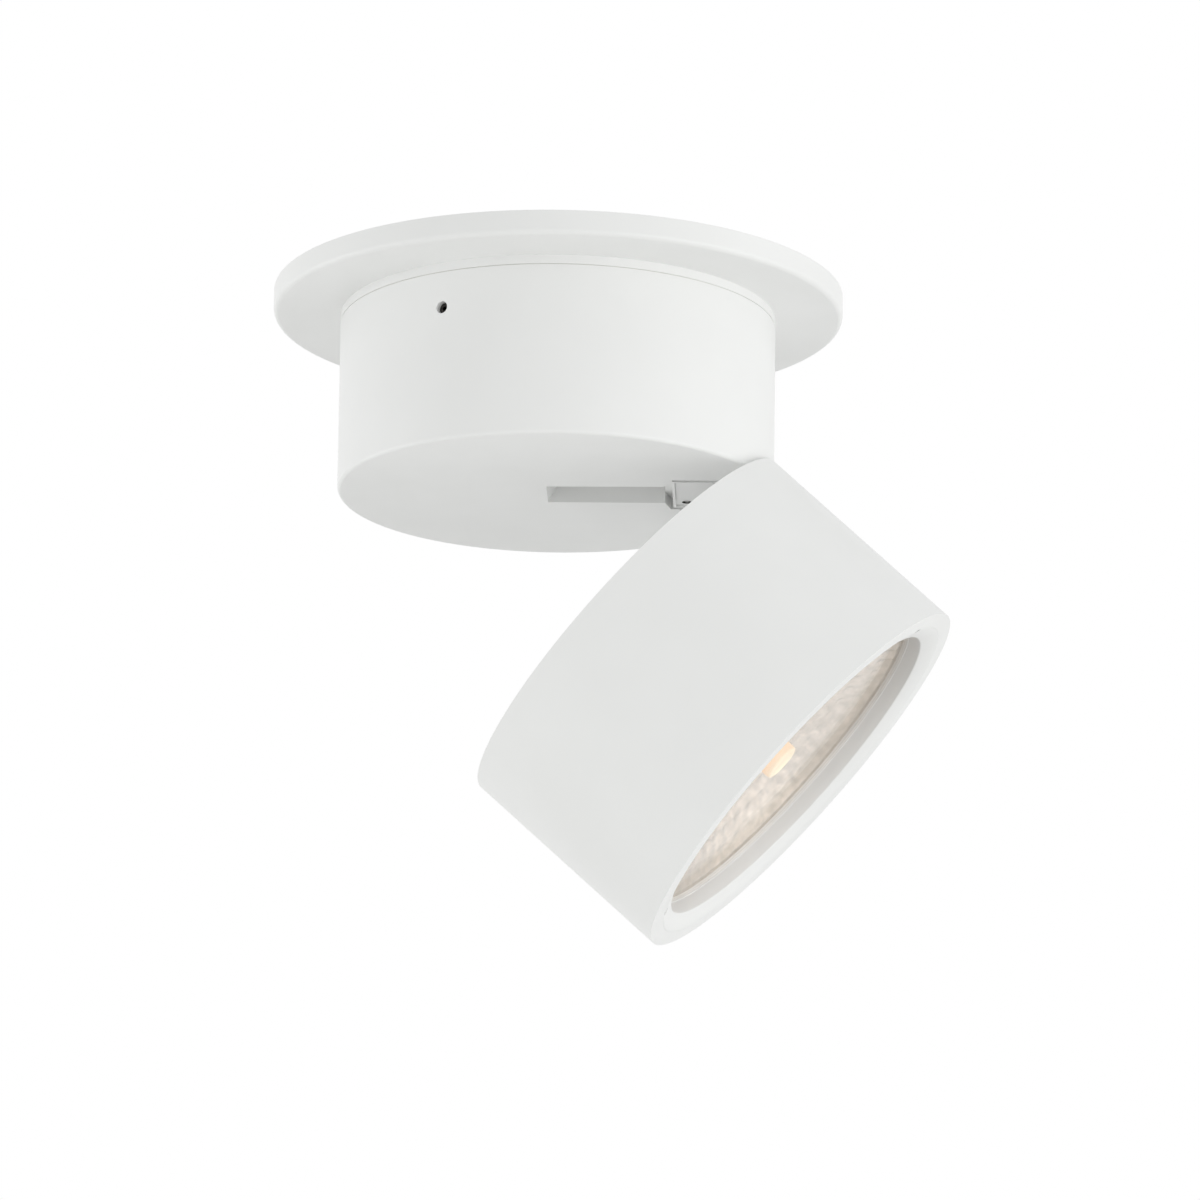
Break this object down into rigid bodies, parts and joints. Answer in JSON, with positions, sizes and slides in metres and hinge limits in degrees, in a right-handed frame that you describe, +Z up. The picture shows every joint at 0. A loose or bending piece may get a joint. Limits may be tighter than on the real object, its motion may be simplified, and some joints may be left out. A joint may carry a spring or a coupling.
{
  "type": "adjustable flush mount ceiling light",
  "caption": "Round ceiling plate with a drum that turns beneath it and a cylindrical lamp head that tilts out on a hinge recessed in the drum's underside.",
  "frame": {"origin": "centre of the ceiling plate's upper side, in the plane of the ceiling", "axes": "+Z up into the ceiling and along the axis the drum turns about, +X the way the head tilts out at rest, +Y across, away from the camera of the picture"},
  "size_m": [0.1715, 0.144, 0.1667],
  "materials": {
    "white_paint": "satin white powder coat",
    "steel": "zinc plated",
    "dark_steel": "black oxide",
    "cast_aluminium": "as cast",
    "bronze": "plain bearing bronze",
    "black_rubber": "matt",
    "pale_silicone": "matt silicone",
    "frosted_guide": "frosted light guide, glows warm",
    "white_plastic": "moulded",
    "board_white": "solder mask",
    "emitter_yellow": "phosphor face",
    "warm_reflector": "hammered, warm tinted",
    "clear_glass": "clear"
  },
  "bodies": {
    "ceiling_mount": {"canopy_plate": "white_paint", "mounting_bar": "steel", "canopy_screws": "steel", "swivel_collar": "white_paint", "slide_ring": "white_plastic", "collar_screws": "steel", "supply_grommet": "black_rubber", "terminal_block": "white_plastic", "terminal_clamp_screws": "steel", "terminal_fixing_screws": "steel"},
    "drum": {"drum_shell": "white_paint", "set_screws": "dark_steel", "hinge_box": "white_paint", "hinge_box_screws": "steel", "earth_screw": "dark_steel", "tilt_pin": "steel", "friction_washers": "bronze", "wire_bush": "black_rubber", "led_driver": "white_plastic", "driver_end_caps": "white_plastic", "driver_screws": "steel"},
    "lamp_head": {"head_shell": "white_paint", "back_cover": "white_paint", "back_cover_screws": "steel", "hinge_arm": "white_paint", "arm_bush": "bronze", "arm_screws": "steel", "wire_duct": "white_paint", "duct_screws": "steel", "cover_grommet": "black_rubber", "heat_sink": "cast_aluminium", "heat_sink_screws": "steel", "led_board": "board_white", "led_emitter": "emitter_yellow", "light_guide": "frosted_guide", "emitter_holder": "white_plastic", "holder_screws": "steel", "reflector": "warm_reflector", "lens_gasket": "pale_silicone", "front_glass": "clear_glass", "retaining_ring": "white_paint"}
  },
  "joints": [
    {"name": "drum_turn", "type": "hinge", "parent": "ceiling_mount", "child": "drum", "pos_m": [0, 0, 0], "axis": [0, 0, 1], "range_deg": [-175, 175]},
    {"name": "head_tilt", "type": "hinge", "parent": "drum", "child": "lamp_head", "pos_m": [0.0455, 0, -0.0491], "axis": [0, -1, 0], "range_deg": [-47.6, 2.4]}
  ]
}
